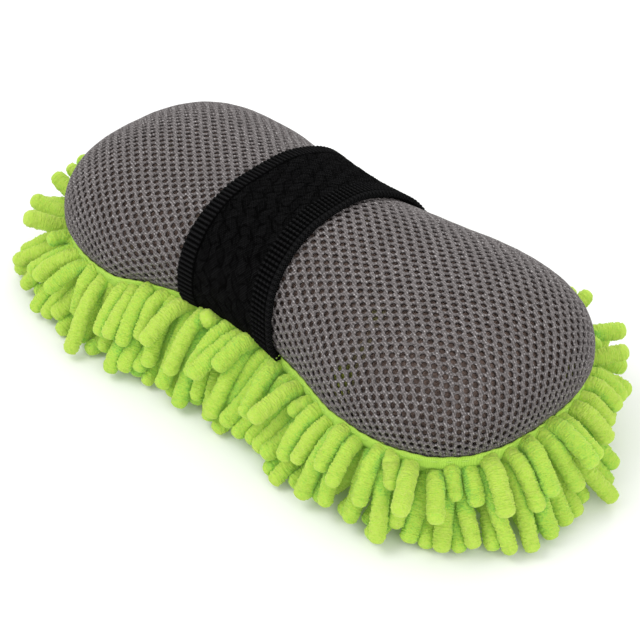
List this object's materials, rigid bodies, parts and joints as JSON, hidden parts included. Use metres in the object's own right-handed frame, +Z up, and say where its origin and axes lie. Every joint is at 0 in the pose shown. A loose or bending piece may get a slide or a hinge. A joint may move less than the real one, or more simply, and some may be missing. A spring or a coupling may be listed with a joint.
{
  "type": "wash mitt",
  "caption": "Waisted sponge wash pad with a domed mesh cover, chenille noodles underneath and an elastic hand strap over the waist.",
  "frame": {"origin": "on the resting surface, under the middle of the pad, where the middle noodle of the middle row touches it", "axes": "+X along the pad's length, +Y across it towards the strap's back end, +Z up through the dome"},
  "size_m": [0.2406, 0.1236, 0.0713],
  "materials": {
    "foam": "matte",
    "spacer_mesh": "matte",
    "lime_cloth": "matte",
    "lime_thread": "satin",
    "elastic_strap": "matte",
    "chenille": "matte"
  },
  "bodies": {
    "pad": {"foam_core": "foam", "mesh_cover": "spacer_mesh", "base_cloth": "lime_cloth", "seam_binding": "lime_cloth", "seam_stitching": "lime_thread", "strap_end_front": "elastic_strap", "strap_end_back": "elastic_strap", "noodle_row_01": "chenille", "noodle_row_02": "chenille", "noodle_row_03": "chenille", "noodle_row_04": "chenille", "noodle_row_05": "chenille", "noodle_row_06": "chenille", "noodle_row_07": "chenille", "noodle_row_08": "chenille", "noodle_row_09": "chenille", "noodle_row_10": "chenille", "noodle_row_11": "chenille", "rim_upper_right_end": "chenille", "rim_upper_back_right": "chenille", "rim_upper_back_waist": "chenille", "rim_upper_back_left": "chenille", "rim_upper_left_end": "chenille", "rim_upper_front_left": "chenille", "rim_upper_front_waist": "chenille", "rim_upper_front_right": "chenille", "rim_lower_right_end": "chenille", "rim_lower_back_right": "chenille", "rim_lower_back_waist": "chenille", "rim_lower_back_left": "chenille", "rim_lower_left_end": "chenille", "rim_lower_front_left": "chenille", "rim_lower_front_waist": "chenille", "rim_lower_front_right": "chenille"},
    "strap": {"hand_strap": "elastic_strap"}
  },
  "joints": [
    {"name": "strap_lift", "type": "slide", "parent": "pad", "child": "strap", "axis": [0, 0, 1], "range_m": [0, 0.028], "stiffness_N_per_m": 350, "springref_m": -0.004}
  ]
}
